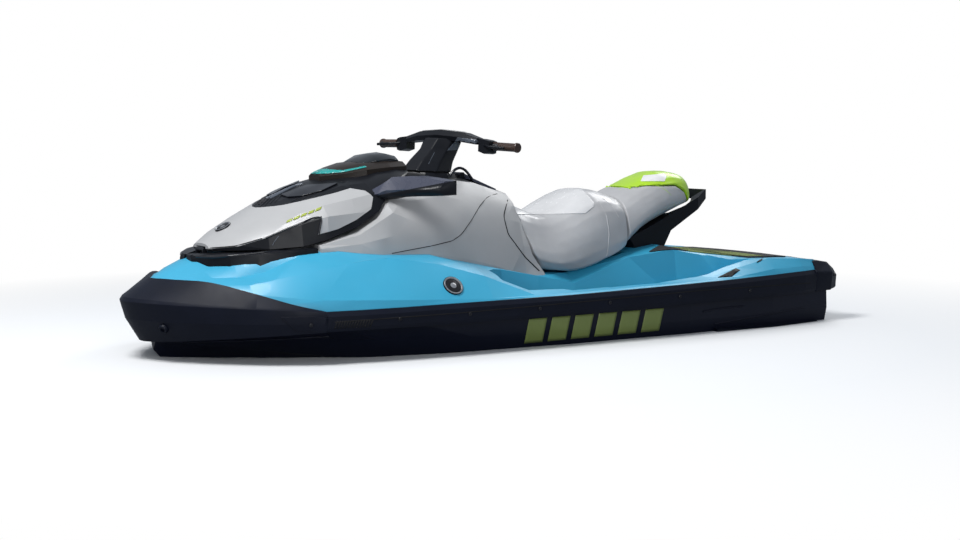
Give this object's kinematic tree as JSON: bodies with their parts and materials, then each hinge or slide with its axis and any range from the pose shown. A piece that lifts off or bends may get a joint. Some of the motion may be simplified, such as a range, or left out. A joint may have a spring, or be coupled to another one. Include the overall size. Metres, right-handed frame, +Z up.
{
  "type": "personal watercraft",
  "caption": "Sit-astride jet-driven watercraft with opening hood, lifting seat, glove lid, handlebar steering a pump nozzle, and a reverse gate",
  "frame": {"origin": "Amidships on the centre plane, at the waterline of the craft afloat.", "axes": "+X to the bow, +Y to port, +Z up."},
  "size_m": [3.32, 1.248, 1.1364],
  "materials": {
    "hull_navy": "gloss gelcoat",
    "deck_blue": "gloss gelcoat",
    "bumper_black": "satin moulded plastic",
    "shell_grey": "satin moulded plastic",
    "trim_black": "gloss moulded plastic",
    "gauge_brown": "gloss moulded plastic",
    "screen_smoke": "smoked clear plastic",
    "mirror_grey": "gloss moulded plastic",
    "seat_grey": "smooth vinyl",
    "seat_lime": "smooth vinyl",
    "mat_dark": "embossed foam mat",
    "tub_black": "matt moulded plastic",
    "engine_grey": "cast",
    "pump_metal": "cast and painted",
    "steel": "brushed",
    "bar_black": "powder coated",
    "grip_brown": "textured grip"
  },
  "bodies": {
    "craft": {"hull": "hull_navy", "deck": "deck_blue", "bow_bumper": "bumper_black", "rail_port": "bumper_black", "rail_starboard": "bumper_black", "stern_bumper_port": "bumper_black", "stern_bumper_starboard": "bumper_black", "stern_step": "bumper_black", "console_spine": "trim_black", "console_panel_port": "shell_grey", "console_panel_starboard": "shell_grey", "storage_tub": "tub_black", "chin_grille": "trim_black", "grab_handle": "trim_black", "mat_port": "mat_dark", "mat_starboard": "mat_dark", "platform_mat": "mat_dark", "sponson_port": "bumper_black", "sponson_starboard": "bumper_black", "engine": "engine_grey", "pump_housing": "pump_metal", "ride_plate": "pump_metal", "intake_grate": "pump_metal"},
    "hood": {"hood_panel": "shell_grey", "hood_vents": "trim_black", "hood_frame": "trim_black", "gauge_pod": "gauge_brown", "windshield": "screen_smoke", "mirror_port": "mirror_grey", "mirror_starboard": "mirror_grey"},
    "glove_lid": {"glove_lid": "mirror_grey"},
    "seat": {"seat_front": "seat_grey", "seat_pan": "tub_black", "seat_rear": "seat_grey", "seat_end": "seat_lime"},
    "steering": {"steering_neck": "trim_black", "handlebar": "bar_black", "handlebar_pad": "trim_black", "control_pod_port": "trim_black", "control_pod_starboard": "trim_black", "grip_port": "grip_brown", "grip_starboard": "grip_brown"},
    "nozzle": {"steering_nozzle": "pump_metal"},
    "gate": {"reverse_gate": "bumper_black"},
    "impeller": {"impeller": "steel"}
  },
  "joints": [
    {"name": "hood_open", "type": "hinge", "parent": "craft", "child": "hood", "pos_m": [1.33, 0, 0.416], "axis": [0, 1, 0], "range_deg": [0, 45]},
    {"name": "glove_lid_open", "type": "hinge", "parent": "craft", "child": "glove_lid", "pos_m": [0.136, 0, 0.696], "axis": [0, 1, 0], "range_deg": [0, 60]},
    {"name": "seat_lift", "type": "hinge", "parent": "craft", "child": "seat", "pos_m": [-0.066, 0, 0.593], "axis": [0, 1, 0], "range_deg": [0, 55]},
    {"name": "steering", "type": "hinge", "parent": "craft", "child": "steering", "pos_m": [0.275, 0, 0.703], "axis": [-0.0523, 0, 0.9986], "range_deg": [-47, 3]},
    {"name": "nozzle_turn", "type": "hinge", "parent": "craft", "child": "nozzle", "pos_m": [-1.43, 0, -0.09], "axis": [0, 0, 1], "range_deg": [-2.4, 37.6]},
    {"name": "reverse_gate_drop", "type": "hinge", "parent": "craft", "child": "gate", "pos_m": [-1.43, 0, -0.09], "axis": [0, -1, 0], "range_deg": [0, 75]},
    {"name": "impeller_spin", "type": "hinge", "parent": "craft", "child": "impeller", "pos_m": [-1.1, 0, -0.09], "axis": [1, 0, 0], "continuous": true}
  ],
  "couplings": [
    {"joint": "nozzle_turn", "follows": "steering", "ratio": -0.8}
  ]
}
